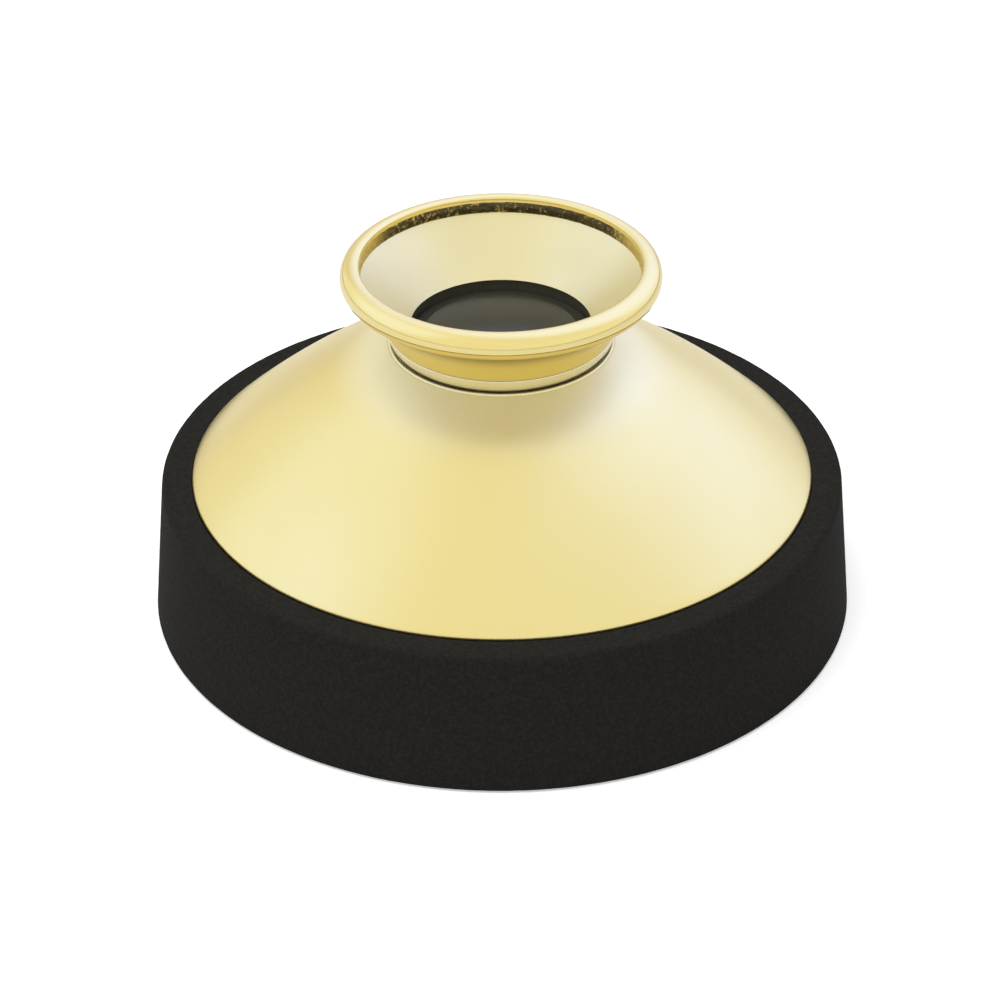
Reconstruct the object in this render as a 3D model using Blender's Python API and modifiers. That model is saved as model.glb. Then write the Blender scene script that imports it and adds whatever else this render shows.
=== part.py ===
"""Saxophone bell mute: a spun brass dish on a tapered foam ring, with a double-walled funnel clamped at its centre.

The mute stands on the foam ring's flat underside, +Z is its turning axis, and the origin is the centre of that
underside. Every piece is turned about Z, so each one is a profile in (radius, height) with a Screw modifier.
"""

import math

import bmesh
import bpy

MM = 0.001

# Clearances between pieces
FIT_GAP = 0.3 * MM  # round pieces inside one another, and pieces on a slope
SEAT_GAP = 0.15 * MM  # flat faces clamped together

# Foam ring
FOAM_BASE_RADIUS = 57.5 * MM
FOAM_TAPER = 1.9 * MM  # how far the wall leans in from the foot to the shoulder
FOAM_SHOULDER_HEIGHT = 23.4 * MM
FOAM_SHOULDER_ROUND = 1.4 * MM
FOAM_FOOT_ROUND = 0.5 * MM
FOAM_TOP_BAND = 5.0 * MM  # from the dish's edge out to the shoulder
FOAM_SEAT_WIDTH = 10.6 * MM
FOAM_BORE_CHAMFER = 1.2 * MM
BOND_THICKNESS = 0.5 * MM
BOND_MARGIN = 1.5 * MM

# Dish: its face is an arc in the profile plane, steeper at the edge than at the collar
DISH_EDGE_HEIGHT = 23.8 * MM  # where the face would meet the edge circle
DISH_EDGE_SLOPE = math.radians(43.6)
DISH_FACE_CURVE = 150.0 * MM  # radius of that arc
DISH_SHEET = 0.8 * MM
DISH_HEM_RADIUS = 0.8 * MM
LAND_MARGIN = 0.55 * MM  # the flat land shows this much round the collar
LAND_ROUND = 0.5 * MM

# Funnel: collar, shell, liner and rim
COLLAR_TOP_RADIUS = 18.4 * MM
COLLAR_LEAN = 0.7 * MM
COLLAR_WIDTH = 2.0 * MM
COLLAR_HEIGHT = 2.1 * MM
COLLAR_EDGE = 0.2 * MM
GASKET_THICKNESS = 0.3 * MM
GASKET_RECESS = 0.45 * MM
SHELL_SHEET = 0.7 * MM
SHELL_FOOT_INSET = 0.05 * MM
SHELL_FLARE_INSET = 0.75 * MM
SHELL_BOW = 0.35 * MM
LINER_SHEET = 0.6 * MM
LINER_SLOPE = math.radians(46.0)
LINER_LEDGE = 0.5 * MM  # the liner's hole is this much smaller than the stem's bore
LINER_FOOT_WIDTH = 1.9 * MM
RIM_BEAD_RADIUS = 2.25 * MM
RIM_OUTER_RADIUS = 25.6 * MM
RIM_LIP_WIDTH = 3.1 * MM  # from the outermost edge to the mouth's wall
RIM_BEAD_RISE = 0.5 * MM  # the bead's centre above the liner's top edge
RIM_EDGE_ROUND = 0.25 * MM

# Throat: stem, disc and its retaining ring
STEM_WALL = 1.5 * MM
STEM_CHAMFER = 0.4 * MM
STEM_TAIL = 0.8 * MM  # thread left showing below the nut
DISC_DEPTH = 1.3 * MM  # from the funnel's hole down to the disc's face
DISC_THICKNESS = 1.9 * MM
DISC_STEP_WIDTH = 1.9 * MM
DISC_STEP_DROP = 0.6 * MM
DISC_ROUND = 0.5 * MM
SNAP_THICKNESS = 0.8 * MM
SNAP_WIDTH = 1.8 * MM
SNAP_GROOVE_DEPTH = 0.7 * MM
SNAP_OPENING = 9.0 * MM

# Clamp below the dish: spacer cone and ring nut
SPACER_WIDTH = 6.6 * MM
SPACER_EDGE = 1.0 * MM
NUT_WIDTH = 4.1 * MM
NUT_THICKNESS = 3.0 * MM
NUT_CHAMFER = 0.4 * MM
NUT_NOTCHES = 6
NUT_NOTCH_WIDTH = 3.0 * MM
NUT_NOTCH_DEPTH = 1.8 * MM

# Facets round the turning axis, and along a fillet or curve
WIDE_STEPS = 72
NARROW_STEPS = 48
SHOULDER_STEPS = 4
FOOT_STEPS = 2
HEM_STEPS = 5
BEAD_STEPS = 13
FACE_STEPS = 6
UNDERSIDE_STEPS = 4
WALL_STEPS = 3
CUTTER_MARGIN = 1.0 * MM

# Radii worked out from the sizes above
FOAM_SHOULDER_RADIUS = FOAM_BASE_RADIUS - FOAM_TAPER
DISH_RADIUS = FOAM_SHOULDER_RADIUS - FOAM_TOP_BAND
FOAM_BORE_RADIUS = DISH_RADIUS - FOAM_SEAT_WIDTH
HEM_INNER_RADIUS = DISH_RADIUS - 2 * DISH_HEM_RADIUS
COLLAR_FOOT_RADIUS = COLLAR_TOP_RADIUS - COLLAR_LEAN
LAND_RADIUS = COLLAR_FOOT_RADIUS + LAND_MARGIN
STEM_RADIUS = COLLAR_TOP_RADIUS - COLLAR_WIDTH
STEM_HOLE_RADIUS = STEM_RADIUS + FIT_GAP
STEM_BORE_RADIUS = STEM_RADIUS - STEM_WALL
LINER_HOLE_RADIUS = STEM_BORE_RADIUS - LINER_LEDGE
LINER_MOUTH_RADIUS = RIM_OUTER_RADIUS - RIM_LIP_WIDTH
RIM_CENTRE_RADIUS = RIM_OUTER_RADIUS - RIM_BEAD_RADIUS
SHELL_FLARE_RADIUS = RIM_CENTRE_RADIUS - SHELL_FLARE_INSET
DISC_RADIUS = STEM_BORE_RADIUS - FIT_GAP
SPACER_RADIUS = STEM_RADIUS + SPACER_WIDTH
NUT_RADIUS = STEM_RADIUS + NUT_WIDTH

# The dish's face and what lies parallel to it are arcs about one centre in the profile plane
FACE_CENTRE_RADIUS = DISH_RADIUS - DISH_FACE_CURVE * math.sin(DISH_EDGE_SLOPE)
FACE_CENTRE_HEIGHT = DISH_EDGE_HEIGHT - DISH_FACE_CURVE * math.cos(DISH_EDGE_SLOPE)


def height_under_face(radius, depth=0.0):
    """Height at a radius, on the surface that lies a depth below the dish's face."""
    return FACE_CENTRE_HEIGHT + math.sqrt((DISH_FACE_CURVE - depth) ** 2 - (radius - FACE_CENTRE_RADIUS) ** 2)


def radius_under_face(height, depth=0.0):
    """Radius at a height, on the surface that lies a depth below the dish's face."""
    return FACE_CENTRE_RADIUS + math.sqrt((DISH_FACE_CURVE - depth) ** 2 - (height - FACE_CENTRE_HEIGHT) ** 2)


# Depths of what lies under the dish's face, and heights worked out from the sizes above
BOND_DEPTH = DISH_SHEET + FIT_GAP
SEAT_DEPTH = BOND_DEPTH + BOND_THICKNESS + FIT_GAP
HEM_CENTRE_RADIUS = DISH_RADIUS - DISH_HEM_RADIUS
HEM_CENTRE_HEIGHT = height_under_face(HEM_CENTRE_RADIUS, DISH_HEM_RADIUS)
LAND_HEIGHT = height_under_face(LAND_RADIUS)
GASKET_BOTTOM = LAND_HEIGHT + SEAT_GAP
COLLAR_BOTTOM = GASKET_BOTTOM + GASKET_THICKNESS + SEAT_GAP
COLLAR_TOP = COLLAR_BOTTOM + COLLAR_HEIGHT
SHELL_BOTTOM = COLLAR_TOP + SEAT_GAP
STEM_TOP = SHELL_BOTTOM
LINER_BOTTOM = STEM_TOP + SEAT_GAP
LINER_RISE = math.tan(LINER_SLOPE)
LINER_ACROSS = LINER_SHEET / math.sin(LINER_SLOPE)  # the sheet measured level
LINER_TOP = LINER_BOTTOM + (LINER_MOUTH_RADIUS - LINER_HOLE_RADIUS) * LINER_RISE
RIM_CENTRE_HEIGHT = LINER_TOP + RIM_BEAD_RISE
RIM_BOTTOM = RIM_CENTRE_HEIGHT - RIM_BEAD_RADIUS
SHELL_TOP = RIM_BOTTOM - SEAT_GAP
DISC_FACE = LINER_BOTTOM - DISC_DEPTH
DISC_BOTTOM = DISC_FACE - DISC_THICKNESS
SNAP_TOP = DISC_BOTTOM - SEAT_GAP
SPACER_BOTTOM = height_under_face(SPACER_RADIUS, BOND_DEPTH) - SPACER_EDGE
NUT_TOP = SPACER_BOTTOM - SEAT_GAP
NUT_BOTTOM = NUT_TOP - NUT_THICKNESS
STEM_BOTTOM = NUT_BOTTOM - STEM_TAIL


def clear_scene():
    for thing in list(bpy.data.objects):
        bpy.data.objects.remove(thing, do_unlink=True)


def new_collection(name):
    collection = bpy.data.collections.new(name)
    bpy.context.scene.collection.children.link(collection)
    return collection


def material(name, colour, roughness, metallic=0.0):
    made = bpy.data.materials.new(name)
    made.use_nodes = True
    shader = made.node_tree.nodes["Principled BSDF"]
    shader.inputs["Base Color"].default_value = (*colour, 1.0)
    shader.inputs["Roughness"].default_value = roughness
    shader.inputs["Metallic"].default_value = metallic
    made.diffuse_color = (*colour, 1.0)
    return made


def arc(centre, radius, start, end, steps):
    """Points on a circle in the profile plane, from one angle to another, in degrees."""
    points = []
    for i in range(steps + 1):
        angle = math.radians(start + (end - start) * i / steps)
        points.append((centre[0] + radius * math.cos(angle), centre[1] + radius * math.sin(angle)))
    return points


def along_face(start, end, depth, steps):
    """Points between two radii on the surface that lies a depth below the dish's face."""
    radii = [start + (end - start) * i / steps for i in range(steps + 1)]
    return [(radius, height_under_face(radius, depth)) for radius in radii]


def turned(name, profile, finish, collection, steps=WIDE_STEPS, closed=True):
    """A (radius, height) outline turned about Z. It runs outwards over the top and down the outer side, and it is
    closed unless it begins and ends on the axis."""
    shape = bpy.data.meshes.new(name)
    mesh = bmesh.new()
    corners = [mesh.verts.new((radius, 0.0, height)) for radius, height in profile]
    for first, second in zip(corners, corners[1:]):
        mesh.edges.new((first, second))
    if closed:
        mesh.edges.new((corners[-1], corners[0]))
    mesh.to_mesh(shape)
    mesh.free()
    shape.materials.append(finish)
    piece = bpy.data.objects.new(name, shape)
    collection.objects.link(piece)
    screw = piece.modifiers.new("turn", "SCREW")
    screw.axis = "Z"
    screw.angle = math.tau
    screw.steps = screw.render_steps = steps
    screw.use_merge_vertices = True
    screw.merge_threshold = 0.00001
    screw.use_smooth_shade = True
    return piece


def add_bevel(piece, width):
    bevel = piece.modifiers.new("edges", "BEVEL")
    bevel.width = width
    bevel.segments = 1
    bevel.limit_method = "ANGLE"
    bevel.angle_limit = math.radians(50)


def box_cutter(name, size, centre, turn, cutters):
    """A box used only to cut: its size, where it lies, and its turn about Z."""
    bpy.ops.mesh.primitive_cube_add(size=1.0, location=centre, rotation=(0.0, 0.0, turn))
    cutter = bpy.context.active_object
    cutter.name = name
    cutter.scale = size
    bpy.ops.object.transform_apply(location=False, rotation=False, scale=True)
    for owner in list(cutter.users_collection):
        owner.objects.unlink(cutter)
    cutters.objects.link(cutter)
    cutter.hide_render = True
    cutter.display_type = "WIRE"
    return cutter


def cut(piece, cutter):
    boolean = piece.modifiers.new("cut " + cutter.name, "BOOLEAN")
    boolean.operation = "DIFFERENCE"
    boolean.object = cutter
    boolean.solver = "EXACT"


def foam_ring(finish, parts):
    """Tapered ring that wedges in the bell, with a soft shoulder, a rebate for the hem and a sloped seat."""
    tilt = math.degrees(math.atan2(FOAM_TAPER, FOAM_SHOULDER_HEIGHT))
    shoulder = (FOAM_SHOULDER_RADIUS - FOAM_SHOULDER_ROUND, FOAM_SHOULDER_HEIGHT - FOAM_SHOULDER_ROUND)
    foot = (FOAM_BASE_RADIUS - FOAM_FOOT_ROUND, FOAM_FOOT_ROUND)
    rebate_radius = DISH_RADIUS + FIT_GAP
    rebate_floor = HEM_CENTRE_HEIGHT - DISH_HEM_RADIUS - FIT_GAP
    step_radius = HEM_INNER_RADIUS - FIT_GAP
    profile = [
        *along_face(FOAM_BORE_RADIUS, step_radius, SEAT_DEPTH, 1),
        (step_radius, rebate_floor),
        (rebate_radius, rebate_floor),
        (rebate_radius, FOAM_SHOULDER_HEIGHT),
        *arc(shoulder, FOAM_SHOULDER_ROUND, 90.0, tilt, SHOULDER_STEPS),
        *arc(foot, FOAM_FOOT_ROUND, tilt, -90.0, FOOT_STEPS),
        (FOAM_BORE_RADIUS + FOAM_BORE_CHAMFER, 0.0),
        (FOAM_BORE_RADIUS, FOAM_BORE_CHAMFER),
    ]
    return turned("foam_ring", profile, finish, parts)


def bond_ring(finish, parts):
    """Adhesive layer on the foam's sloped seat, which holds the dish down."""
    inner = FOAM_BORE_RADIUS + BOND_MARGIN
    outer = HEM_INNER_RADIUS - BOND_MARGIN
    profile = [
        *along_face(inner, outer, BOND_DEPTH, 1),
        *along_face(outer, inner, BOND_DEPTH + BOND_THICKNESS, 1),
    ]
    return turned("bond_ring", profile, finish, parts, NARROW_STEPS)


def dish(finish, parts):
    """Spun dish: a flat land round the stem hole, a small fillet, the curved face, and a hem under its edge."""
    top_slope = math.asin((LAND_RADIUS - FACE_CENTRE_RADIUS) / DISH_FACE_CURVE)
    fillet = (LAND_RADIUS - LAND_ROUND * math.tan(top_slope / 2), LAND_HEIGHT - LAND_ROUND)
    fillet_end = 90.0 - math.degrees(top_slope)
    hem = (HEM_CENTRE_RADIUS, HEM_CENTRE_HEIGHT)
    hem_start = math.degrees(math.atan2(hem[1] - FACE_CENTRE_HEIGHT, hem[0] - FACE_CENTRE_RADIUS))
    face_start = fillet[0] + LAND_ROUND * math.cos(math.radians(fillet_end))
    face_end = hem[0] + DISH_HEM_RADIUS * math.cos(math.radians(hem_start))
    hem_end = hem[0] - DISH_HEM_RADIUS * math.cos(math.radians(hem_start))
    under_land = radius_under_face(LAND_HEIGHT - DISH_SHEET, DISH_SHEET)
    profile = [
        (STEM_HOLE_RADIUS, LAND_HEIGHT),
        *arc(fillet, LAND_ROUND, 90.0, fillet_end, 2),
        *along_face(face_start, face_end, 0.0, FACE_STEPS)[1:-1],
        *arc(hem, DISH_HEM_RADIUS, hem_start, hem_start - 180.0, HEM_STEPS),
        *along_face(hem_end, under_land, DISH_SHEET, UNDERSIDE_STEPS),
        (STEM_HOLE_RADIUS, LAND_HEIGHT - DISH_SHEET),
    ]
    return turned("dish", profile, finish, parts)


def collar_gasket(finish, parts):
    """Thin washer between the dish's land and the collar, seen as a dark line."""
    outer = COLLAR_FOOT_RADIUS - GASKET_RECESS
    profile = [
        (STEM_HOLE_RADIUS, GASKET_BOTTOM + GASKET_THICKNESS),
        (outer, GASKET_BOTTOM + GASKET_THICKNESS),
        (outer, GASKET_BOTTOM),
        (STEM_HOLE_RADIUS, GASKET_BOTTOM),
    ]
    return turned("collar_gasket", profile, finish, parts, NARROW_STEPS)


def collar_ring(finish, parts):
    """Turned ring that the funnel stands on; its band leans in towards its foot."""
    profile = [
        (STEM_HOLE_RADIUS, COLLAR_TOP),
        (COLLAR_TOP_RADIUS - COLLAR_EDGE, COLLAR_TOP),
        (COLLAR_TOP_RADIUS, COLLAR_TOP - COLLAR_EDGE),
        (COLLAR_FOOT_RADIUS, COLLAR_BOTTOM + COLLAR_EDGE),
        (COLLAR_FOOT_RADIUS - COLLAR_EDGE, COLLAR_BOTTOM),
        (STEM_HOLE_RADIUS, COLLAR_BOTTOM),
    ]
    return turned("collar_ring", profile, finish, parts)


def cup_shell(finish, parts):
    """Outer wall of the funnel: a sheet with a flat foot on the collar, flaring out to the rim."""
    foot = COLLAR_TOP_RADIUS - SHELL_FOOT_INSET
    run = SHELL_FLARE_RADIUS - foot
    rise = SHELL_TOP - SHELL_BOTTOM
    length = math.hypot(run, rise)
    across = SHELL_SHEET * length / rise  # the sheet measured level

    def wall(share):
        bow = SHELL_BOW * math.sin(math.pi * share)
        return foot + run * share - bow * rise / length, SHELL_BOTTOM + rise * share + bow * run / length

    shares = [i / WALL_STEPS for i in range(WALL_STEPS + 1)]
    outer = [wall(share) for share in reversed(shares)]
    inner = [(radius - across, height) for radius, height in map(wall, shares) if height > SHELL_BOTTOM + SHELL_SHEET]
    foot_inner = foot + run * SHELL_SHEET / rise - across
    profile = [
        *outer,
        (STEM_HOLE_RADIUS, SHELL_BOTTOM),
        (STEM_HOLE_RADIUS, SHELL_BOTTOM + SHELL_SHEET),
        (foot_inner, SHELL_BOTTOM + SHELL_SHEET),
        *inner,
    ]
    return turned("cup_shell", profile, finish, parts)


def cup_liner(finish, parts):
    """Inner cone of the funnel, with a flat foot soldered to the stem's end."""
    foot = LINER_HOLE_RADIUS + LINER_FOOT_WIDTH
    foot_top = LINER_BOTTOM + LINER_SHEET
    inside_top = LINER_HOLE_RADIUS + LINER_ACROSS + (foot_top - LINER_BOTTOM) / LINER_RISE
    profile = [
        (LINER_MOUTH_RADIUS, LINER_TOP),
        (LINER_MOUTH_RADIUS + LINER_ACROSS, LINER_TOP),
        (inside_top, foot_top),
        (foot, foot_top),
        (foot, LINER_BOTTOM),
        (LINER_HOLE_RADIUS, LINER_BOTTOM),
    ]
    return turned("cup_liner", profile, finish, parts)


def rim_ring(finish, parts):
    """Round-nosed ring on the funnel's mouth, hollowed under its inner side to cap the liner and the shell."""
    centre = (RIM_CENTRE_RADIUS, RIM_CENTRE_HEIGHT)
    inner = LINER_MOUTH_RADIUS
    bead_rise = math.sqrt(RIM_BEAD_RADIUS**2 - (RIM_CENTRE_RADIUS - inner - RIM_EDGE_ROUND) ** 2)
    corner = (inner, RIM_CENTRE_HEIGHT + bead_rise - RIM_EDGE_ROUND)
    start = math.degrees(math.acos((inner + RIM_EDGE_ROUND - RIM_CENTRE_RADIUS) / RIM_BEAD_RADIUS))
    behind_liner = LINER_MOUTH_RADIUS + LINER_ACROSS + FIT_GAP
    foot = behind_liner - (LINER_TOP - RIM_BOTTOM) / LINER_RISE
    profile = [
        (behind_liner, LINER_TOP + SEAT_GAP),
        (inner, LINER_TOP + SEAT_GAP),
        corner,
        *arc(centre, RIM_BEAD_RADIUS, start, -90.0, BEAD_STEPS),
        (foot, RIM_BOTTOM),
    ]
    return turned("rim_ring", profile, finish, parts)


def throat_stem(finish, parts):
    """Tube soldered under the funnel, through the dish, with a groove in its bore for the retaining ring."""
    groove_radius = STEM_BORE_RADIUS + SNAP_GROOVE_DEPTH
    groove_top = SNAP_TOP + SEAT_GAP
    groove_bottom = SNAP_TOP - SNAP_THICKNESS - SEAT_GAP
    profile = [
        (STEM_BORE_RADIUS, STEM_TOP),
        (STEM_RADIUS, STEM_TOP),
        (STEM_RADIUS, STEM_BOTTOM + STEM_CHAMFER),
        (STEM_RADIUS - STEM_CHAMFER, STEM_BOTTOM),
        (STEM_BORE_RADIUS, STEM_BOTTOM),
        (STEM_BORE_RADIUS, groove_bottom),
        (groove_radius, groove_bottom),
        (groove_radius, groove_top),
        (STEM_BORE_RADIUS, groove_top),
    ]
    return turned("throat_stem", profile, finish, parts, NARROW_STEPS)


def throat_disc(finish, parts):
    """Moulded disc that closes the throat, with a raised face inside a lower rim."""
    face_radius = DISC_RADIUS - DISC_STEP_WIDTH
    rim_height = DISC_FACE - DISC_STEP_DROP
    edge = (face_radius - DISC_ROUND, DISC_FACE - DISC_ROUND)
    outline = [
        (0.0, DISC_FACE),
        *arc(edge, DISC_ROUND, 90.0, 0.0, 3),
        (face_radius, rim_height),
        (DISC_RADIUS, rim_height),
        (DISC_RADIUS, DISC_BOTTOM),
        (0.0, DISC_BOTTOM),
    ]
    return turned("throat_disc", outline, finish, parts, NARROW_STEPS, closed=False)


def snap_ring(finish, parts, cutters):
    """Open spring ring in the stem's groove, which holds the disc up."""
    outer = STEM_BORE_RADIUS + SNAP_GROOVE_DEPTH - FIT_GAP
    inner = outer - SNAP_WIDTH
    bottom = SNAP_TOP - SNAP_THICKNESS
    profile = [(inner, SNAP_TOP), (outer, SNAP_TOP), (outer, bottom), (inner, bottom)]
    ring = turned("snap_ring", profile, finish, parts, NARROW_STEPS)
    size = (2 * SNAP_WIDTH + 2 * CUTTER_MARGIN, SNAP_OPENING, SNAP_THICKNESS + 2 * CUTTER_MARGIN)
    centre = ((inner + outer) / 2, 0.0, (SNAP_TOP + bottom) / 2)
    cut(ring, box_cutter("snap_ring_opening", size, centre, 0.0, cutters))
    return ring


def cone_spacer(finish, parts):
    """Moulded cone that fills the dish's inside round the stem and gives the nut a flat face."""
    top = LAND_HEIGHT - DISH_SHEET - SEAT_GAP
    profile = [
        (STEM_HOLE_RADIUS, top),
        (radius_under_face(top, BOND_DEPTH), top),
        (SPACER_RADIUS, SPACER_BOTTOM + SPACER_EDGE),
        (SPACER_RADIUS, SPACER_BOTTOM),
        (STEM_HOLE_RADIUS, SPACER_BOTTOM),
    ]
    return turned("cone_spacer", profile, finish, parts, NARROW_STEPS)


def clamp_nut(finish, parts, cutters):
    """Ring nut on the stem's thread, with notches for a pin spanner, which pulls the funnel down."""
    profile = [
        (STEM_HOLE_RADIUS, NUT_TOP),
        (NUT_RADIUS, NUT_TOP),
        (NUT_RADIUS, NUT_BOTTOM),
        (STEM_HOLE_RADIUS, NUT_BOTTOM),
    ]
    nut = turned("clamp_nut", profile, finish, parts, NARROW_STEPS)
    add_bevel(nut, NUT_CHAMFER)
    size = (2 * NUT_NOTCH_DEPTH, NUT_NOTCH_WIDTH, NUT_THICKNESS + 2 * CUTTER_MARGIN)
    for i in range(NUT_NOTCHES):
        turn = math.tau * (i + 0.5) / NUT_NOTCHES
        centre = (NUT_RADIUS * math.cos(turn), NUT_RADIUS * math.sin(turn), (NUT_TOP + NUT_BOTTOM) / 2)
        cut(nut, box_cutter(f"nut_notch_{i + 1}", size, centre, turn, cutters))
    return nut


def main():
    clear_scene()
    parts = new_collection("saxophone_mute")
    cutters = new_collection("cutters")
    polished = material("polished_brass", (0.86, 0.70, 0.33), 0.10, 1.0)
    satin = material("satin_brass", (0.72, 0.55, 0.22), 0.28, 1.0)
    steel = material("spring_steel", (0.50, 0.50, 0.50), 0.30, 1.0)
    foam = material("black_foam", (0.018, 0.017, 0.014), 0.95)
    rubber = material("black_rubber", (0.012, 0.012, 0.011), 0.55)
    plastic = material("black_plastic", (0.012, 0.012, 0.012), 0.15)
    adhesive = material("adhesive", (0.75, 0.72, 0.62), 0.60)

    foam_ring(foam, parts)
    bond_ring(adhesive, parts)
    dish(polished, parts)
    collar_gasket(rubber, parts)
    collar_ring(polished, parts)
    cup_shell(satin, parts)
    cup_liner(polished, parts)
    rim_ring(polished, parts)
    throat_stem(satin, parts)
    throat_disc(plastic, parts)
    snap_ring(steel, parts, cutters)
    cone_spacer(plastic, parts)
    clamp_nut(satin, parts, cutters)


main()
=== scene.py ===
"""Looks of the saxophone mute: satin-polished brass, black foam, a glossy throat disc, and a plain white studio."""

import math

import bmesh
import bpy
from mathutils import Matrix, Vector, noise


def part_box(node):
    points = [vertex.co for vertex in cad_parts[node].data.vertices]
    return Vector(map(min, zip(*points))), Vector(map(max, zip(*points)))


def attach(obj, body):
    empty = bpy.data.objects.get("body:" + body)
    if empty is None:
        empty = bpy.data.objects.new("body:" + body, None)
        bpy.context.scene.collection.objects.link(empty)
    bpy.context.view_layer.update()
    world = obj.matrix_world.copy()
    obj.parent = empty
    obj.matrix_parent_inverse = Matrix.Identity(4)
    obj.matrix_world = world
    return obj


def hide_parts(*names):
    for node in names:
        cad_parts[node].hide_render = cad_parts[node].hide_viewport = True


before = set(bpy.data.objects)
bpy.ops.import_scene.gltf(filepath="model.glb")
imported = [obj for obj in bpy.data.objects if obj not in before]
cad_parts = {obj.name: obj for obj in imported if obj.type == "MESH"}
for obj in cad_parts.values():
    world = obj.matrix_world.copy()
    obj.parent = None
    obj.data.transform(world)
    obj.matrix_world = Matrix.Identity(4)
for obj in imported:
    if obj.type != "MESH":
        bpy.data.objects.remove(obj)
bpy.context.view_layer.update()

MM = 0.001

# Sizes that the CAD solids share
FIT_GAP = 0.3 * MM
SEAT_GAP = 0.15 * MM
DISH_EDGE_HEIGHT = 23.8 * MM
DISH_EDGE_SLOPE = math.radians(43.6)
DISH_FACE_CURVE = 150.0 * MM
DISH_SHEET = 0.8 * MM
DISH_HEM_RADIUS = 0.8 * MM
LAND_RADIUS = 18.25 * MM
LAND_ROUND = 0.5 * MM
BOND_THICKNESS = 0.5 * MM
FOAM_TAPER = 1.9 * MM
FOAM_FOOT_ROUND = 0.5 * MM
FOAM_BORE_CHAMFER = 1.2 * MM
COLLAR_LEAN = 0.7 * MM
COLLAR_EDGE = 0.2 * MM
SHELL_SHEET = 0.7 * MM
SHELL_FOOT_INSET = 0.05 * MM
SHELL_BOW = 0.35 * MM
LINER_SHEET = 0.6 * MM
LINER_SLOPE = math.radians(46.0)
LINER_FOOT_WIDTH = 1.9 * MM
RIM_BEAD_RADIUS = 2.25 * MM
RIM_EDGE_ROUND = 0.25 * MM
DISC_STEP_WIDTH = 1.9 * MM
DISC_STEP_DROP = 0.6 * MM
DISC_ROUND = 0.5 * MM
SNAP_GROOVE_DEPTH = 0.7 * MM

# Details that only this script adds
LAND_BEAD = 0.26 * MM
LAND_BEAD_INSET = 0.42 * MM
COLLAR_LIP = 0.05 * MM
COLLAR_LIP_START = 0.32 * MM
COLLAR_LIP_END = 0.36 * MM
COLLAR_RISE = 0.10 * MM
LINER_EDGE = 0.15 * MM
SMALL_EDGE = 0.1 * MM
SUNK = 0.02 * MM  # how deep a hidden edge lies in the piece that carries it
FOAM_SHOULDER_ROUND = 0.9 * MM
FOAM_HUG = 0.06 * MM
FOAM_REBATE_ROUND = 0.2 * MM
FOAM_GRAIN = 1.4 * MM
FOAM_GRAIN_DEPTH = 0.05 * MM
THREAD_PITCH = 1.0 * MM
THREAD_DEPTH = 0.35 * MM
THREAD_TURNS = 6
THREAD_LEAD_IN = 12  # steps over which the thread rises from the tube, and sinks into it again
THREAD_ROOT_HALF = 0.42  # in pitches, as is the next
THREAD_CREST_HALF = 0.08
SOLDER_HEIGHT = 2.0 * MM
SOLDER_START = 0.15 * MM
SOLDER_DEPTH = 0.30 * MM
SOLDER_LUMP = 1.1 * MM
SOLDER_LUMP_STRETCH = 1.6
SOLDER_LUMP_DETAIL = 1.7
SOLDER_TOE = 0.12
SOLDER_THIN = 0.25  # share of the depth where it is thinnest
SOLDER_SWING = 0.9
SOLDER_WAVE = 0.05  # share of the height by which its upper edge wanders
SOLDER_WAVE_DETAIL = 0.8

# A small edge is cut by one point or two, at these shares of its size
EDGE_POINT = 0.3
RIM_EDGE_POINT = (0.35, 0.7)

# How finely the surfaces are made
TURN_STEPS = 288
FOAM_TURN_STEPS = 480
FOAM_SPACING = 0.75 * MM
ARC_STEPS = 10
FACE_STEPS = 48
EDGE_STEPS = 4
FILLET_STEPS = 5
DISC_EDGE_STEPS = 6
LAND_BEAD_STEPS = 8
HEM_STEPS = 14
SHELL_STEPS = 14
BEAD_STEPS = 36
THREAD_STEPS = 144
SOLDER_STEPS = 540
SOLDER_ROWS = 9
ON_AXIS = 0.0001 * MM
NEAR = 0.01 * MM

# Camera, fitted to the outlines in the photograph
CAMERA_PLACE = Vector((-0.32, -477.72, 314.12)) * MM
CAMERA_PITCH = math.radians(31.88)
CAMERA_ROLL = -0.0046
CAMERA_LENS = 122.86
SENSOR_WIDTH = 36.0
CAMERA_CLIP = (0.01, 20.0)

# Colours, in linear light
GOLD = (0.865, 0.725, 0.315)
GOLD_PALE = (0.885, 0.790, 0.430)
# Painted light: paler brass laid on the dish around the collar, where the funnel's reflection shades it
PAINTED_LIGHT_BRASS = (0.960, 0.890, 0.600)
SATIN_GOLD = (0.780, 0.630, 0.215)
SATIN_DEEP = (0.700, 0.540, 0.165)
LINER_GOLD = (0.880, 0.790, 0.470)
LINER_PALE = (0.900, 0.830, 0.550)
COLLAR_GOLD = (0.790, 0.740, 0.560)
COLLAR_PALE = (0.840, 0.800, 0.640)
SOLDER_DARK = (0.100, 0.085, 0.050)
SOLDER_GOLD = (0.72, 0.56, 0.20)
# Painted shade: darker brown under the rim's bead, on the shell's top and the rim's underside
BEAD_SHADE_BROWN = (0.330, 0.240, 0.085)
FOAM_BLACK = (0.0180, 0.0168, 0.0148)
FOAM_DUST = (0.0290, 0.0270, 0.0235)
DISC_BLACK = (0.038, 0.037, 0.026)
BORE_BLACK = (0.055, 0.055, 0.043)
GASKET_BLACK = (0.030, 0.025, 0.013)
SPACER_BLACK = (0.014, 0.014, 0.014)
TAPE_PALE = (0.60, 0.56, 0.46)
STEEL = (0.45, 0.45, 0.46)
STEEL_PALE = (0.52, 0.52, 0.52)
WHITE = (1.0, 1.0, 1.0)

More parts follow.
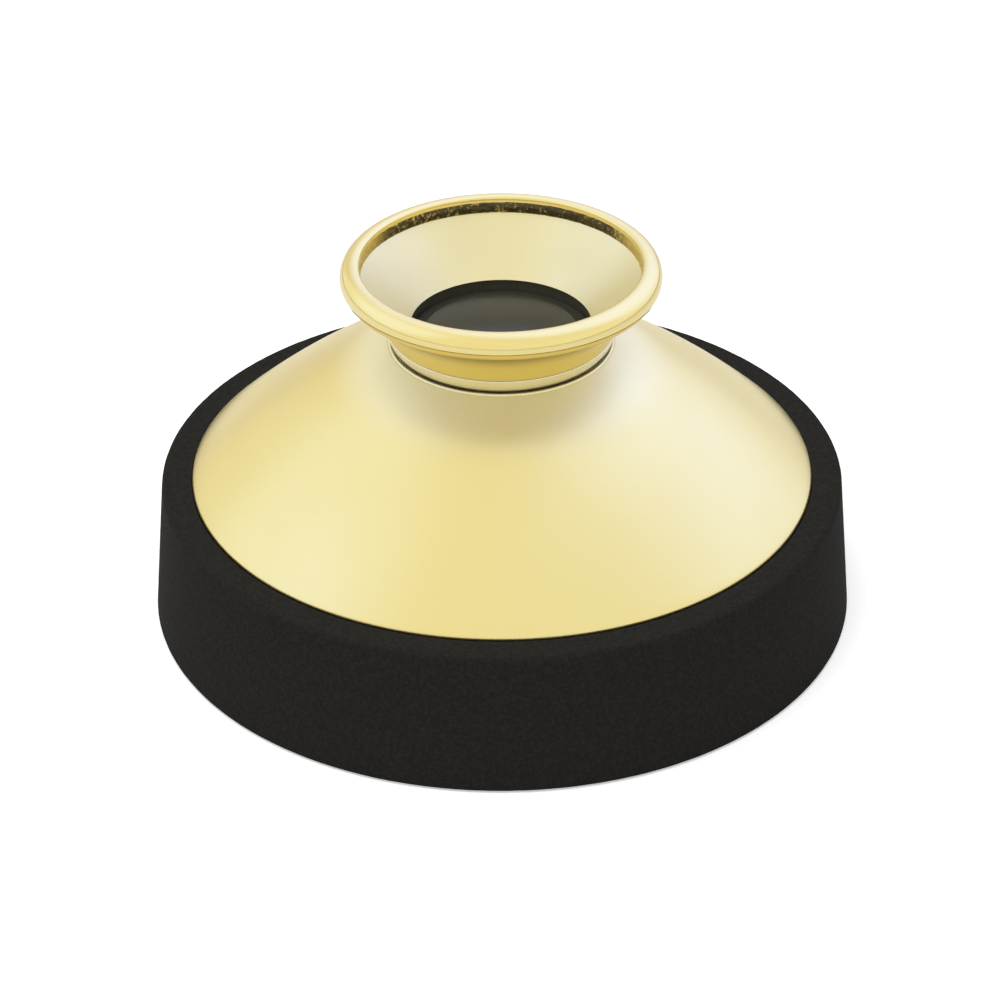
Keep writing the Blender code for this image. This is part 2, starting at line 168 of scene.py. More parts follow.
# Roughness. On metal that shows, it stays wholly above or wholly below 0.27, because the denoised render has fine
# lines where it crosses that value.
SATIN_ROUGHNESS = 0.285
RIM_ROUGHNESS = 0.09
COLLAR_ROUGHNESS = 0.16
STEEL_ROUGHNESS = 0.25
LINER_ROUGHNESS = 0.42
SOLDER_ROUGHNESS = 0.32
SOLDER_METAL = 0.9
FOAM_ROUGHNESS = 0.9
FOAM_SPECULAR = 0.06
DISC_ROUGHNESS = (0.22, 0.27)
DISC_SPECULAR = 0.30

# Zones where colour is painted over the brass, which are also rougher: painted light on the dish, paler around the
# collar where the funnel's reflection shades it, and painted shade on the shell and rim, darker under the rim's
# bead.
# Each gives the axis along which it runs, where it is full, where it ends, its colour, and what it adds to the
# roughness.
DISH_PAINTED_LIGHT_ZONE = ("radius", 19.0 * MM, 29.0 * MM, PAINTED_LIGHT_BRASS, 0.30)
SHELL_BEAD_SHADE_ZONE = ("radius", 22.6 * MM, 19.6 * MM, BEAD_SHADE_BROWN, 0.05)
RIM_BEAD_SHADE_ZONE = ("height", 57.3 * MM, 58.3 * MM, BEAD_SHADE_BROWN, 0.15)
SOLDER_GOLDEN_TO = 8.0 * MM
SOLDER_DARK_FROM = 14.0 * MM

# Textures: scales in waves per metre, the ranges of noise that they use, and depths of relief
CLOUD_SCALE = 24.0
CLOUD_RANGE = (0.36, 0.68)
CLOUD_SHARE = 0.5
SMUDGE_SCALE = 60.0
SMUDGE_RANGE = (0.35, 0.75)
SMUDGE_DULLING = 1.3
TURNING_SCALE = (0.5, 2200.0, 2200.0)
TURNING_DEPTH = 0.001 * MM
CELL_SCALE = 2200.0
CELL_DEPTH = 0.10 * MM
CELL_STRENGTH = 0.6
FOAM_DUST_SCALE = 1600.0
FOAM_DUST_RANGE = (0.40, 0.80)
DISC_DUST_SCALE = 400.0
DISC_DUST_RANGE = (0.4, 0.8)
DISC_WAVE_SCALE = 120.0
GRAIN_SCALE = 900.0
GRAIN_LIGHTENING = 1.6
MOULDED_DEPTH = 0.03 * MM
FLECK_SCALE = 1100.0
FLECK_DEPTH = 0.2 * MM
PATCH_SCALE = 90.0
PATCH_SHARE = 0.45
SOLDER_RANGE = (0.76, 0.90)

# The studio as the metal sees it. A panel has an azimuth from +X, an elevation, the angles where it fades out and is
# full, all in degrees, and a colour.
TENT_SHADE = (0.97, 0.96, 0.85)
TENT_LIGHT = (1.02, 1.01, 0.90)
TENT_PANELS = (
    (91.0, 15.0, 36.0, 24.0, (0.86, 0.80, 0.64)),
    (56.0, 45.0, 55.0, 3.0, (1.10, 1.23, 1.95)),
    (177.0, 37.0, 42.0, 15.0, (1.08, 1.16, 1.41)),
)
PLAIN_LIGHT = (0.42, 0.42, 0.42)
FOLD_SCALE = 2.2
FOLD_RANGE = (0.35, 0.65)
LAMP_SIZE = 1.2
LAMP_POWER = 13.0
LAMP_PLACE = (-0.25, -0.15, 1.3)
FLOOR_SIZE = 12.0
FLOOR_DROP = 0.2 * MM
FLOOR_COLOUR = (0.90, 0.90, 0.90)
FLOOR_ROUGHNESS = 0.9
FLOOR_GLOW = (0.05, 0.45)  # for all other rays, and for the camera's


def socket(node, name, value):
    node.inputs[name].default_value = value


def new_material(name):
    made = bpy.data.materials.new(name)
    made.use_nodes = True
    nodes = made.node_tree.nodes
    return made, nodes, made.node_tree.links, nodes["Principled BSDF"]


def object_coordinates(nodes):
    return nodes.new("ShaderNodeTexCoord").outputs["Object"]


def turned_coordinates(nodes, links):
    """Coordinates in which marks left by turning are straight lines: all three, and radius and height alone."""
    split = nodes.new("ShaderNodeSeparateXYZ")
    links.new(object_coordinates(nodes), split.inputs[0])
    angle = nodes.new("ShaderNodeMath")
    angle.operation = "ARCTAN2"
    links.new(split.outputs["Y"], angle.inputs[0])
    links.new(split.outputs["X"], angle.inputs[1])
    flat = nodes.new("ShaderNodeCombineXYZ")
    links.new(split.outputs["X"], flat.inputs["X"])
    links.new(split.outputs["Y"], flat.inputs["Y"])
    radius = nodes.new("ShaderNodeVectorMath")
    radius.operation = "LENGTH"
    links.new(flat.outputs[0], radius.inputs[0])
    joined = nodes.new("ShaderNodeCombineXYZ")
    links.new(angle.outputs[0], joined.inputs["X"])
    links.new(radius.outputs["Value"], joined.inputs["Y"])
    links.new(split.outputs["Z"], joined.inputs["Z"])
    return joined.outputs[0], {"radius": radius.outputs["Value"], "height": split.outputs["Z"]}


def scaled(nodes, links, vector, scale):
    mapping = nodes.new("ShaderNodeMapping")
    socket(mapping, "Scale", scale)
    links.new(vector, mapping.inputs["Vector"])
    return mapping.outputs[0]


def noise_factor(nodes, links, vector, scale, detail=3.0, rough=0.5):
    texture = nodes.new("ShaderNodeTexNoise")
    socket(texture, "Scale", scale)
    socket(texture, "Detail", detail)
    socket(texture, "Roughness", rough)
    links.new(vector, texture.inputs["Vector"])
    return texture.outputs["Fac"]


def spread(nodes, links, factor, low, high, out_low=0.0, out_high=1.0, smooth=False):
    ranged = nodes.new("ShaderNodeMapRange")
    if smooth:
        ranged.interpolation_type = "SMOOTHSTEP"
    socket(ranged, "From Min", low)
    socket(ranged, "From Max", high)
    socket(ranged, "To Min", out_low)
    socket(ranged, "To Max", out_high)
    links.new(factor, ranged.inputs["Value"])
    return ranged.outputs[0]


def blend_colours(nodes, links, factor, first, second):
    """A mix of two colours. Each is three numbers or the output of another mix."""
    mix = nodes.new("ShaderNodeMix")
    mix.data_type = "RGBA"
    for slot, colour in (("A", first), ("B", second)):
        if isinstance(colour, tuple):
            mix.inputs[slot].default_value = (*colour, 1.0)
        else:
            links.new(colour, mix.inputs[slot])
    links.new(factor, mix.inputs["Factor"])
    return mix.outputs["Result"]


def bump(nodes, links, height, distance, strength=1.0):
    made = nodes.new("ShaderNodeBump")
    socket(made, "Distance", distance)
    socket(made, "Strength", strength)
    links.new(height, made.inputs["Height"])
    return made.outputs[0]


def brass(name, colour, second, roughness, painted_zone=None):
    """Lacquered brass: soft changes of tone and fine marks from turning. A zone that paints a paler or darker colour
    over the brass and adds roughness is set out with the zones above.
    """
    made, nodes, links, shader = new_material(name)
    place = object_coordinates(nodes)
    turned_place, along = turned_coordinates(nodes, links)
    cloud = noise_factor(nodes, links, place, CLOUD_SCALE, 2.0, 0.4)
    share = spread(nodes, links, cloud, *CLOUD_RANGE, 0.0, CLOUD_SHARE)
    base = blend_colours(nodes, links, share, colour, second)
    smudge = noise_factor(nodes, links, place, SMUDGE_SCALE, 4.0, 0.6)
    dull = spread(nodes, links, smudge, *SMUDGE_RANGE, roughness, roughness * SMUDGE_DULLING)
    if painted_zone:
        axis, full, end, zone_colour, extra = painted_zone
        low, high = sorted((full, end))
        at_low = 1.0 if full < end else 0.0
        # Painted light on the dish, painted shade under the rim's bead: the zone's colour is mixed over the brass,
        # full at one end and gone at the other
        share = spread(nodes, links, along[axis], low, high, at_low, 1.0 - at_low, smooth=True)
        base = blend_colours(nodes, links, share, base, zone_colour)
        added = nodes.new("ShaderNodeMath")
        added.operation = "MULTIPLY_ADD"
        links.new(share, added.inputs[0])
        added.inputs[1].default_value = extra
        links.new(dull, added.inputs[2])
        dull = added.outputs[0]
    links.new(base, shader.inputs["Base Color"])
    links.new(dull, shader.inputs["Roughness"])
    socket(shader, "Metallic", 1.0)
    grooves = noise_factor(nodes, links, scaled(nodes, links, turned_place, TURNING_SCALE), 1.0, 1.0)
    links.new(bump(nodes, links, grooves, TURNING_DEPTH), shader.inputs["Normal"])
    return made


def foam_material():
    """Closed-cell foam: near black, with fine cut cells and specks of slightly lighter dust."""
    made, nodes, links, shader = new_material("black_foam")
    place = object_coordinates(nodes)
    cells = nodes.new("ShaderNodeTexVoronoi")
    socket(cells, "Scale", CELL_SCALE)
    links.new(place, cells.inputs["Vector"])
    specks = noise_factor(nodes, links, place, FOAM_DUST_SCALE, 2.0, 0.6)
    share = spread(nodes, links, specks, *FOAM_DUST_RANGE)
    links.new(blend_colours(nodes, links, share, FOAM_BLACK, FOAM_DUST), shader.inputs["Base Color"])
    socket(shader, "Roughness", FOAM_ROUGHNESS)
    socket(shader, "Specular IOR Level", FOAM_SPECULAR)
    links.new(bump(nodes, links, cells.outputs["Distance"], CELL_DEPTH, CELL_STRENGTH), shader.inputs["Normal"])
    return made


def gloss_black():
    """Moulded glossy disc with faint moulding waves and dust."""
    made, nodes, links, shader = new_material("gloss_black")
    place = object_coordinates(nodes)
    socket(shader, "Base Color", (*DISC_BLACK, 1.0))
    dust = noise_factor(nodes, links, place, DISC_DUST_SCALE, 5.0, 0.7)
    links.new(spread(nodes, links, dust, *DISC_DUST_RANGE, *DISC_ROUGHNESS), shader.inputs["Roughness"])
    socket(shader, "Specular IOR Level", DISC_SPECULAR)
    waves = noise_factor(nodes, links, place, DISC_WAVE_SCALE, 1.0)
    links.new(bump(nodes, links, waves, MOULDED_DEPTH), shader.inputs["Normal"])
    return made


def grained(name, colour, roughness):
    """Matte moulding or washer: a grained surface whose tone varies a little."""
    made, nodes, links, shader = new_material(name)
    place = object_coordinates(nodes)
    grain = noise_factor(nodes, links, place, GRAIN_SCALE, 4.0, 0.6)
    lighter = tuple(min(1.0, c * GRAIN_LIGHTENING) for c in colour)
    links.new(blend_colours(nodes, links, grain, colour, lighter), shader.inputs["Base Color"])
    socket(shader, "Roughness", roughness)
    links.new(bump(nodes, links, grain, MOULDED_DEPTH), shader.inputs["Normal"])
    return made


def solder_material():
    """Rough solder: dark with flecks of gold at the mouth's back, golden at its sides and front."""
    made, nodes, links, shader = new_material("solder")
    place = object_coordinates(nodes)
    flecks = noise_factor(nodes, links, place, FLECK_SCALE, 3.0, 0.7)
    patches = noise_factor(nodes, links, place, PATCH_SCALE, 2.0, 0.5)
    mixed = nodes.new("ShaderNodeMath")
    mixed.operation = "MULTIPLY_ADD"
    links.new(patches, mixed.inputs[0])
    mixed.inputs[1].default_value = PATCH_SHARE
    links.new(flecks, mixed.inputs[2])
    share = spread(nodes, links, mixed.outputs[0], *SOLDER_RANGE)
    split = nodes.new("ShaderNodeSeparateXYZ")
    links.new(place, split.inputs[0])
    behind = split.outputs["Y"]
    # Golden towards the front and sides, dark towards the back, along the Y coordinate
    towards_front = spread(nodes, links, behind, SOLDER_GOLDEN_TO, SOLDER_DARK_FROM, 1.0, 0.0, smooth=True)
    blended = blend_colours(nodes, links, share, SOLDER_DARK, SOLDER_GOLD)
    links.new(blend_colours(nodes, links, towards_front, blended, SOLDER_GOLD), shader.inputs["Base Color"])
    socket(shader, "Metallic", SOLDER_METAL)
    socket(shader, "Roughness", SOLDER_ROUGHNESS)
    links.new(bump(nodes, links, flecks, FLECK_DEPTH), shader.inputs["Normal"])
    return made


def arc(centre, radius, start, end, steps=ARC_STEPS):
    points = []
    for i in range(steps + 1):
        angle = math.radians(start + (end - start) * i / steps)
        points.append((centre[0] + radius * math.cos(angle), centre[1] + radius * math.sin(angle)))
    return points


def finer(profile, spacing):
    """The same closed outline with points no further apart than the spacing."""
    points = []
    for (r0, z0), (r1, z1) in zip(profile, [*profile[1:], profile[0]]):
        parts = max(1, math.ceil(math.hypot(r1 - r0, z1 - z0) / spacing))
        for i in range(parts):
            points.append((r0 + (r1 - r0) * i / parts, z0 + (z1 - z0) * i / parts))
    return points


def add_piece(name, mesh, finish, sharp=40.0):
    data = bpy.data.meshes.new(name)
    mesh.to_mesh(data)
    mesh.free()
    data.shade_smooth()
    data.set_sharp_from_angle(angle=math.radians(sharp))
    data.materials.append(finish)
    piece = bpy.data.objects.new(name, data)
    bpy.context.scene.collection.objects.link(piece)
    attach(piece, "root")
    return piece


def lathe(name, profile, finish, closed=True, steps=TURN_STEPS, sharp=40.0):
    """A mesh turned about Z from (radius, height) points that run outwards over the top and down the outer side."""
    mesh = bmesh.new()
    rings = []
    for radius, height in profile:
        if radius < ON_AXIS:
            rings.append([mesh.verts.new((0.0, 0.0, height))])
            continue
        turns = [math.tau * i / steps for i in range(steps)]
        rings.append([mesh.verts.new((radius * math.cos(a), radius * math.sin(a), height)) for a in turns])
    pairs = list(zip(rings, rings[1:]))
    if closed:
        pairs.append((rings[-1], rings[0]))
    for upper, lower in pairs:
        for i in range(steps):
            j = (i + 1) % steps
            if len(upper) == 1:
                mesh.faces.new((upper[0], lower[i], lower[j]))
            elif len(lower) == 1:
                mesh.faces.new((upper[i], lower[0], upper[j]))
            else:
                mesh.faces.new((upper[i], lower[i], lower[j], upper[j]))
    return add_piece(name, mesh, finish, sharp)


DISH_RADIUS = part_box("dish")[1].x
LAND_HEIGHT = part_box("dish")[1].z
FACE_CENTRE_RADIUS = DISH_RADIUS - DISH_FACE_CURVE * math.sin(DISH_EDGE_SLOPE)
FACE_CENTRE_HEIGHT = DISH_EDGE_HEIGHT - DISH_FACE_CURVE * math.cos(DISH_EDGE_SLOPE)


def height_under_face(radius, depth=0.0):
    """Height at a radius, on the surface that lies a depth below the dish's face."""
    return FACE_CENTRE_HEIGHT + math.sqrt((DISH_FACE_CURVE - depth) ** 2 - (radius - FACE_CENTRE_RADIUS) ** 2)


def radius_under_face(height, depth=0.0):
    return FACE_CENTRE_RADIUS + math.sqrt((DISH_FACE_CURVE - depth) ** 2 - (height - FACE_CENTRE_HEIGHT) ** 2)


def along_face(start, end, depth, steps=FACE_STEPS):
    radii = [start + (end - start) * i / steps for i in range(steps + 1)]
    return [(radius, height_under_face(radius, depth)) for radius in radii]


def least_radius(node):
    return min(math.hypot(v.co.x, v.co.y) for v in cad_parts[node].data.vertices)


HEM = (DISH_RADIUS - DISH_HEM_RADIUS, height_under_face(DISH_RADIUS - DISH_HEM_RADIUS, DISH_HEM_RADIUS))
STEM_HOLE = least_radius("dish")
LINER_HOLE = least_radius("cup_liner")
LINER_ACROSS = LINER_SHEET / math.sin(LINER_SLOPE)
LINER_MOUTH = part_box("cup_liner")[1].x - LINER_ACROSS
LINER_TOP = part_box("cup_liner")[1].z


def make_dish(finish):
    top_slope = math.asin((LAND_RADIUS - FACE_CENTRE_RADIUS) / DISH_FACE_CURVE)
    fillet = (LAND_RADIUS - LAND_ROUND * math.tan(top_slope / 2), LAND_HEIGHT - LAND_ROUND)
    fillet_end = 90.0 - math.degrees(top_slope)
    hem_start = math.degrees(math.atan2(HEM[1] - FACE_CENTRE_HEIGHT, HEM[0] - FACE_CENTRE_RADIUS))
    face_start = fillet[0] + LAND_ROUND * math.cos(math.radians(fillet_end))
    face_end = HEM[0] + DISH_HEM_RADIUS * math.cos(math.radians(hem_start))
    hem_end = HEM[0] - DISH_HEM_RADIUS * math.cos(math.radians(hem_start))
    under_land = radius_under_face(LAND_HEIGHT - DISH_SHEET, DISH_SHEET)
    profile = [
        (STEM_HOLE, LAND_HEIGHT),
        *arc((LAND_RADIUS - LAND_BEAD_INSET, LAND_HEIGHT), LAND_BEAD, 180.0, 0.0, LAND_BEAD_STEPS),
        *arc(fillet, LAND_ROUND, 90.0, fillet_end, FILLET_STEPS),
        *along_face(face_start, face_end, 0.0)[1:-1],
        *arc(HEM, DISH_HEM_RADIUS, hem_start, hem_start - 180.0, HEM_STEPS),
        *along_face(hem_end, under_land, DISH_SHEET),
        (STEM_HOLE, LAND_HEIGHT - DISH_SHEET),
    ]
    piece = lathe("dish_spun", profile, finish)
    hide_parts("dish")


def make_foam(finish):
    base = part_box("foam_ring")[1].x
    shoulder_radius = base - FOAM_TAPER
    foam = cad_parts["foam_ring"].data.vertices
    bore = least_radius("foam_ring")
    shoulder_height = max(v.co.z for v in foam if math.hypot(v.co.x, v.co.y) > DISH_RADIUS)
    tilt = math.degrees(math.atan2(FOAM_TAPER, shoulder_height))
    shoulder = (shoulder_radius - FOAM_SHOULDER_ROUND, shoulder_height - FOAM_SHOULDER_ROUND)
    foot = (base - FOAM_FOOT_ROUND, FOAM_FOOT_ROUND)
    rebate = DISH_RADIUS + FOAM_HUG
    floor = HEM[1] - DISH_HEM_RADIUS - FIT_GAP
    step = DISH_RADIUS - 2 * DISH_HEM_RADIUS - FIT_GAP
    seat_depth = DISH_SHEET + 2 * FIT_GAP + BOND_THICKNESS
    edge = FOAM_REBATE_ROUND
    profile = [
        (bore, height_under_face(bore, seat_depth)),
        (step, height_under_face(step, seat_depth)),
        (step, floor),
        (rebate, floor),
        (rebate, shoulder_height - edge),
        (rebate + EDGE_POINT * edge, shoulder_height - EDGE_POINT * edge),
        (rebate + edge, shoulder_height),
        *arc(shoulder, FOAM_SHOULDER_ROUND, 90.0, tilt),
        *arc(foot, FOAM_FOOT_ROUND, tilt, -90.0, EDGE_STEPS),
        (bore + FOAM_BORE_CHAMFER, 0.0),
        (bore, FOAM_BORE_CHAMFER),
    ]
    piece = lathe("foam_body", finer(profile, FOAM_SPACING), finish, steps=FOAM_TURN_STEPS)
    normals = [vertex.normal.copy() for vertex in piece.data.vertices]
    for vertex, normal in zip(piece.data.vertices, normals):
        grain = 0.5 + 0.5 * noise.noise(vertex.co / FOAM_GRAIN)
        vertex.co -= normal * FOAM_GRAIN_DEPTH * grain
        vertex.co.z = max(vertex.co.z, 0.0)
    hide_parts("foam_ring")


def make_collar(finish):
    low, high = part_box("collar_ring")
    top = high.x
    foot = top - COLLAR_LEAN
    lean = math.degrees(math.atan2(COLLAR_LEAN, high.z - low.z))
    lip = low.z - COLLAR_LIP
    seam = high.z + COLLAR_RISE
    profile = [
        (STEM_HOLE, seam),
        *arc((top - COLLAR_EDGE, seam - COLLAR_EDGE), COLLAR_EDGE, 90.0, -lean, EDGE_STEPS),
        (foot, lip + EDGE_POINT * COLLAR_EDGE),
        (foot - EDGE_POINT * COLLAR_EDGE, lip),
        (foot - COLLAR_LIP_START, lip),
        (foot - COLLAR_LIP_END, low.z),
        (STEM_HOLE, low.z),
    ]
    piece = lathe("collar_band", profile, finish)
    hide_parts("collar_ring")


def make_shell(finish):
    low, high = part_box("cup_shell")
    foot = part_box("collar_ring")[1].x - SHELL_FOOT_INSET
    run = high.x - foot
    rise = high.z - low.z
    length = math.hypot(run, rise)
    across = SHELL_SHEET * length / rise
    points = []
    for i in range(SHELL_STEPS + 1):
        share = i / SHELL_STEPS
        bow = SHELL_BOW * math.sin(math.pi * share)
        points.append((foot + run * share - bow * rise / length, low.z + rise * share + bow * run / length))
    profile = [
        *reversed(points),
        (STEM_HOLE, low.z),
        (STEM_HOLE, low.z + SHELL_SHEET),
        (foot + run * SHELL_SHEET / rise - across, low.z + SHELL_SHEET),
        *[(radius - across, height) for radius, height in points if height > low.z + SHELL_SHEET],
    ]
    piece = lathe("funnel_shell", profile, finish)
    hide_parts("cup_shell")


def make_liner(finish):
    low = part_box("cup_liner")[0].z
    foot = LINER_HOLE + LINER_FOOT_WIDTH
    foot_top = low + LINER_SHEET
    inside = LINER_HOLE + LINER_ACROSS + LINER_SHEET / math.tan(LINER_SLOPE)
    profile = [
        (LINER_MOUTH, LINER_TOP),
        (LINER_MOUTH + LINER_ACROSS, LINER_TOP),
        (inside, foot_top),
        (foot, foot_top),
        (foot, low),
        (LINER_HOLE + LINER_EDGE, low),
        (LINER_HOLE + LINER_EDGE / 2, low + LINER_EDGE / 2),
    ]
    piece = lathe("funnel_liner", profile, finish)
    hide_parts("cup_liner")


def make_rim(finish):
    low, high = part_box("rim_ring")
    centre = (high.x - RIM_BEAD_RADIUS, low.z + RIM_BEAD_RADIUS)
    inner = LINER_MOUTH
    start = math.degrees(math.acos((inner + RIM_EDGE_ROUND - centre[0]) / RIM_BEAD_RADIUS))
    bead_rise = math.sqrt(RIM_BEAD_RADIUS**2 - (centre[0] - inner - RIM_EDGE_ROUND) ** 2)
    corner = (inner, centre[1] + bead_rise - RIM_EDGE_ROUND)
    behind = inner + LINER_ACROSS + FIT_GAP
    foot = behind - (LINER_TOP - low.z) / math.tan(LINER_SLOPE)
    profile = [
        (behind, LINER_TOP + SEAT_GAP),
        (inner, LINER_TOP + SEAT_GAP),
        corner,
        (inner + RIM_EDGE_POINT[0] * RIM_EDGE_ROUND, corner[1] + RIM_EDGE_POINT[1] * RIM_EDGE_ROUND),
        *arc(centre, RIM_BEAD_RADIUS, start, -90.0, BEAD_STEPS),
        (foot, low.z),
    ]
    piece = lathe("rim_lip", profile, finish)
    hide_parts("rim_ring")


def make_disc(finish):
    low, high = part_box("throat_disc")
    radius = high.x
    face = radius - DISC_STEP_WIDTH
    rim_height = high.z - DISC_STEP_DROP
    profile = [
        (0.0, high.z),
        *arc((face - DISC_ROUND, high.z - DISC_ROUND), DISC_ROUND, 90.0, 0.0, DISC_EDGE_STEPS),
        (face, rim_height),
        (radius - SMALL_EDGE, rim_height),
        (radius, rim_height - SMALL_EDGE),
        (radius, low.z),
        (0.0, low.z),
    ]
    piece = lathe("throat_cap", profile, finish, closed=False)
    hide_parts("throat_disc")


def make_stem(finish, inside):
    """The stem: blackened inside, and with a real thread on its lower end where the nut runs."""
    low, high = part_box("throat_stem")
    snap_low, snap_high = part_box("snap_ring")
    radius = high.x
    bore = least_radius("throat_stem")
    groove = bore + SNAP_GROOVE_DEPTH
    groove_top = snap_high.z + SEAT_GAP
    groove_bottom = snap_low.z - SEAT_GAP
    root = radius - THREAD_DEPTH
    thread_top = low.z + THREAD_PITCH * (THREAD_TURNS + 1)
    profile = [
        (bore, high.z),
        (radius, high.z),
        (radius, thread_top),
        (root, thread_top - THREAD_DEPTH),
        (root, low.z + SMALL_EDGE),
        (root - SMALL_EDGE, low.z),
        (bore, low.z),
        (bore, groove_bottom),
        (groove, groove_bottom),
        (groove, groove_top),
        (bore, groove_top),
    ]
    tube = lathe("stem_tube", profile, finish)
    tube.data.materials.append(inside)
    for face in tube.data.polygons:
        reach = math.hypot(face.center.x, face.center.y)
        if reach < groove + NEAR or (reach < STEM_HOLE and face.center.z > high.z - NEAR):
            face.material_index = 1
    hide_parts("throat_stem")
    make_thread(finish, root, low.z)


def make_thread(finish, root, bottom):
    mesh = bmesh.new()
    rows = []
    last = THREAD_STEPS * THREAD_TURNS
    hidden = root - SUNK
    for i in range(last + 1):
        angle = math.tau * i / THREAD_STEPS
        middle = bottom + THREAD_PITCH * (0.5 + i / THREAD_STEPS)
        crest = root + THREAD_DEPTH * min(1.0, i / THREAD_LEAD_IN, (last - i) / THREAD_LEAD_IN)
        section = (
            (hidden, -THREAD_ROOT_HALF),
            (crest, -THREAD_CREST_HALF),
            (crest, THREAD_CREST_HALF),
            (hidden, THREAD_ROOT_HALF),
        )
        row = []
        for out, rise in section:
            row.append(mesh.verts.new((out * math.cos(angle), out * math.sin(angle), middle + rise * THREAD_PITCH)))
        rows.append(row)
    for first, second in zip(rows, rows[1:]):
        for k in range(4):
            n = (k + 1) % 4
            mesh.faces.new((first[k], second[k], second[n], first[n]))
    for row in (rows[0], rows[-1]):
        mesh.faces.new(row)
    bmesh.ops.recalc_face_normals(mesh, faces=mesh.faces[:])
    add_piece("stem_thread", mesh, finish, sharp=30.0)


def make_solder(finish):
    """Uneven fillet of solder where the liner meets the rim, on the mouth's inner wall."""
    mesh = bmesh.new()
    grid = []
    for row in range(SOLDER_ROWS):
        share = row / (SOLDER_ROWS - 1)
        ring = []
        for i in range(SOLDER_STEPS):
            turn = math.tau * i / SOLDER_STEPS
            around = Vector((math.cos(turn), math.sin(turn), 0.0)) * (LINER_MOUTH / SOLDER_LUMP)
            point = around + Vector((0.0, 0.0, share * SOLDER_HEIGHT / SOLDER_LUMP * SOLDER_LUMP_STRETCH))
            lump = 0.5 + 0.5 * noise.noise(point * SOLDER_LUMP_DETAIL)
            swell = math.sin(math.pi * (SOLDER_TOE + (1.0 - SOLDER_TOE) * share))
            radius = LINER_MOUTH - SOLDER_DEPTH * swell * (SOLDER_THIN + SOLDER_SWING * lump)
            if row in (0, SOLDER_ROWS - 1):
                radius = LINER_MOUTH + SUNK
            edge = SOLDER_WAVE * SOLDER_HEIGHT * noise.noise(around * SOLDER_WAVE_DETAIL) * share
            level = LINER_TOP - SOLDER_START + SOLDER_HEIGHT * share + edge
            ring.append(mesh.verts.new((radius * math.cos(turn), radius * math.sin(turn), level)))
        grid.append(ring)
    for lower, upper in zip(grid, [*grid[1:], grid[0]]):
        for i in range(SOLDER_STEPS):
            j = (i + 1) % SOLDER_STEPS
            mesh.faces.new((lower[i], upper[i], upper[j], lower[j]))
    add_piece("solder_seam", mesh, finish, sharp=80.0)


def dress_nodes(finishes):
    """New finishes on the CAD nodes that stay."""
    for name, finish in finishes.items():
        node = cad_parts[name]
        node.data.materials.clear()
        node.data.materials.append(finish)


def make_camera():
    data = bpy.data.cameras.new("camera")
    data.lens = CAMERA_LENS
    data.sensor_width = SENSOR_WIDTH
    data.clip_start, data.clip_end = CAMERA_CLIP
    camera = bpy.data.objects.new("camera", data)
    bpy.context.scene.collection.objects.link(camera)
    tilt = Matrix.Rotation(math.pi / 2 - CAMERA_PITCH, 4, "X")
    roll = Matrix.Rotation(CAMERA_ROLL, 4, "Z")
    camera.matrix_world = Matrix.Translation(CAMERA_PLACE) @ tilt @ roll
    bpy.context.scene.camera = camera


def make_floor():
    bpy.ops.mesh.primitive_plane_add(size=FLOOR_SIZE, location=(0.0, 0.0, -FLOOR_DROP))
    floor = bpy.context.active_object
    floor.name = "floor"
    made, nodes, links, shader = new_material("floor_white")
    socket(shader, "Base Color", (*FLOOR_COLOUR, 1.0))
    socket(shader, "Roughness", FLOOR_ROUGHNESS)
    socket(shader, "Specular IOR Level", 0.0)
    socket(shader, "Emission Color", (*WHITE, 1.0))
    seen = nodes.new("ShaderNodeLightPath").outputs["Is Camera Ray"]
    links.new(spread(nodes, links, seen, 0.0, 1.0, *FLOOR_GLOW), shader.inputs["Emission Strength"])
    floor.data.materials.append(made)


def towards(azimuth, elevation):
    turn, rise = math.radians(azimuth), math.radians(elevation)
    return Vector((math.cos(rise) * math.cos(turn), math.cos(rise) * math.sin(turn), math.sin(rise)))


def facing(nodes, links, direction, outer, inner):
    """How near the ray runs to a direction: 0 beyond the outer angle, 1 within the inner one, in degrees."""
    product = nodes.new("ShaderNodeVectorMath")
    product.operation = "DOT_PRODUCT"
    links.new(nodes.new("ShaderNodeTexCoord").outputs["Generated"], product.inputs[0])
    product.inputs[1].default_value = direction
    low, high = math.cos(math.radians(outer)), math.cos(math.radians(inner))
    return spread(nodes, links, product.outputs["Value"], low, high, smooth=True)


def background(nodes, colour):
    made = nodes.new("ShaderNodeBackground")
    socket(made, "Color", (*colour, 1.0))
    return made


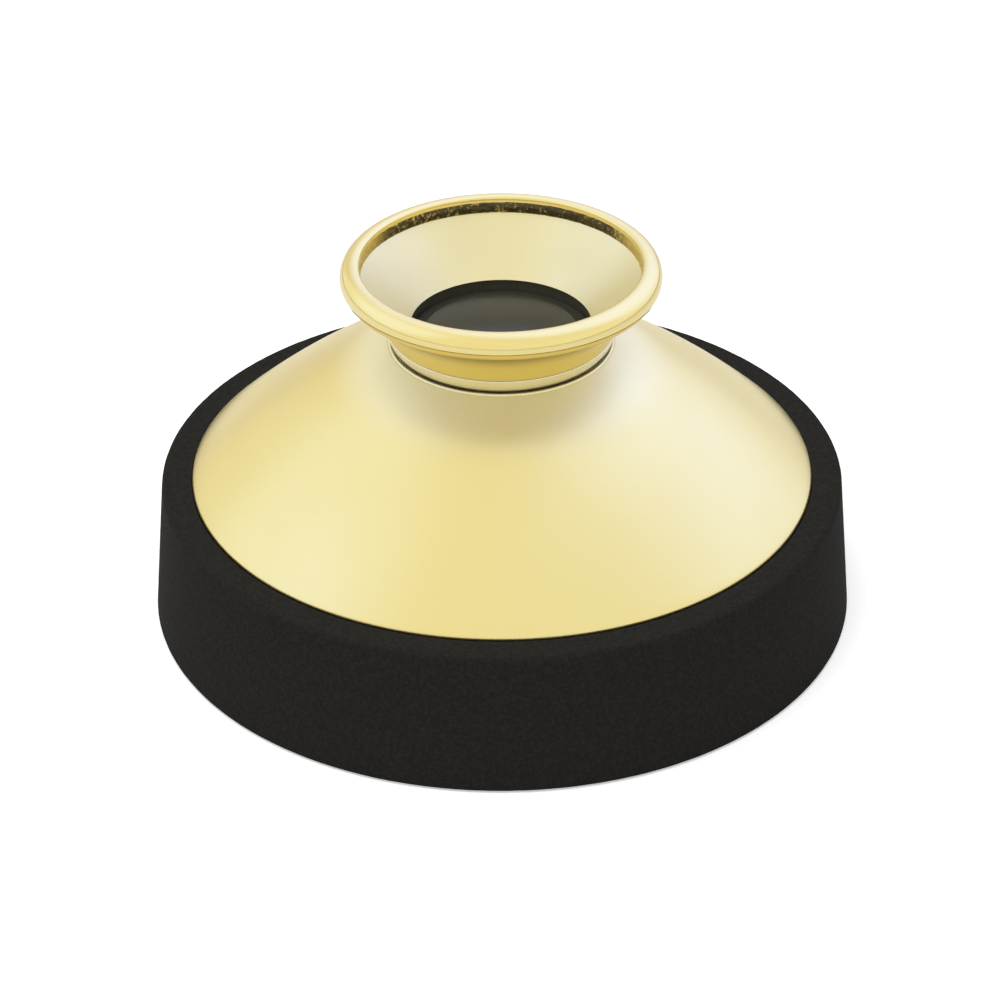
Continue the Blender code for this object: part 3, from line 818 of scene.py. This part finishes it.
def make_world():
    """White to the camera. In reflections a pale tent with soft folds, and the panels of TENT_PANELS in it."""
    world = bpy.data.worlds.new("studio")
    bpy.context.scene.world = world
    world.use_nodes = True
    nodes, links = world.node_tree.nodes, world.node_tree.links
    nodes.clear()
    out = nodes.new("ShaderNodeOutputWorld")
    generated = nodes.new("ShaderNodeTexCoord").outputs["Generated"]
    folds = spread(nodes, links, noise_factor(nodes, links, generated, FOLD_SCALE, 2.0, 0.5), *FOLD_RANGE)
    seen = blend_colours(nodes, links, folds, TENT_SHADE, TENT_LIGHT)
    for azimuth, elevation, outer, inner, colour in TENT_PANELS:
        near = facing(nodes, links, towards(azimuth, elevation), outer, inner)
        seen = blend_colours(nodes, links, near, seen, colour)
    room = nodes.new("ShaderNodeBackground")
    links.new(seen, room.inputs["Color"])
    path = nodes.new("ShaderNodeLightPath")
    first = nodes.new("ShaderNodeMixShader")
    links.new(path.outputs["Is Glossy Ray"], first.inputs[0])
    links.new(background(nodes, PLAIN_LIGHT).outputs[0], first.inputs[1])
    links.new(room.outputs[0], first.inputs[2])
    second = nodes.new("ShaderNodeMixShader")
    links.new(path.outputs["Is Camera Ray"], second.inputs[0])
    links.new(first.outputs[0], second.inputs[1])
    links.new(background(nodes, WHITE).outputs[0], second.inputs[2])
    links.new(second.outputs[0], out.inputs["Surface"])


def make_lamp():
    """A broad soft lamp overhead. It lights the foam and floor and isn't seen in the metal."""
    data = bpy.data.lights.new("overhead", "AREA")
    data.size = LAMP_SIZE
    data.energy = LAMP_POWER
    lamp = bpy.data.objects.new("overhead", data)
    bpy.context.scene.collection.objects.link(lamp)
    lamp.location = LAMP_PLACE
    lamp.rotation_mode = "QUATERNION"
    lamp.rotation_quaternion = (-lamp.location).to_track_quat("-Z", "Y")
    lamp.visible_glossy = False


def main():
    polished = brass("dish_look", GOLD, GOLD_PALE, SATIN_ROUGHNESS, painted_zone=DISH_PAINTED_LIGHT_ZONE)
    satin = brass("satin_brass_look", SATIN_GOLD, SATIN_DEEP, SATIN_ROUGHNESS)
    make_camera()
    make_dish(polished)
    make_foam(foam_material())
    make_collar(brass("collar_look", COLLAR_GOLD, COLLAR_PALE, COLLAR_ROUGHNESS))
    make_shell(brass("shell_look", SATIN_GOLD, SATIN_DEEP, SATIN_ROUGHNESS, painted_zone=SHELL_BEAD_SHADE_ZONE))
    make_liner(brass("liner_look", LINER_GOLD, LINER_PALE, LINER_ROUGHNESS))
    make_rim(brass("rim_look", GOLD, GOLD_PALE, RIM_ROUGHNESS, painted_zone=RIM_BEAD_SHADE_ZONE))
    make_solder(solder_material())
    make_disc(gloss_black())
    make_stem(satin, grained("blackened_bore", BORE_BLACK, 0.5))
    dress_nodes({
        "bond_ring": grained("tape", TAPE_PALE, 0.6),
        "collar_gasket": grained("gasket_black", GASKET_BLACK, 0.7),
        "snap_ring": brass("spring_steel_look", STEEL, STEEL_PALE, STEEL_ROUGHNESS),
        "cone_spacer": grained("moulded_black", SPACER_BLACK, 0.5),
        "clamp_nut": satin,
    })
    make_floor()
    make_world()
    make_lamp()
    bpy.context.scene.view_settings.view_transform = "Standard"


main()
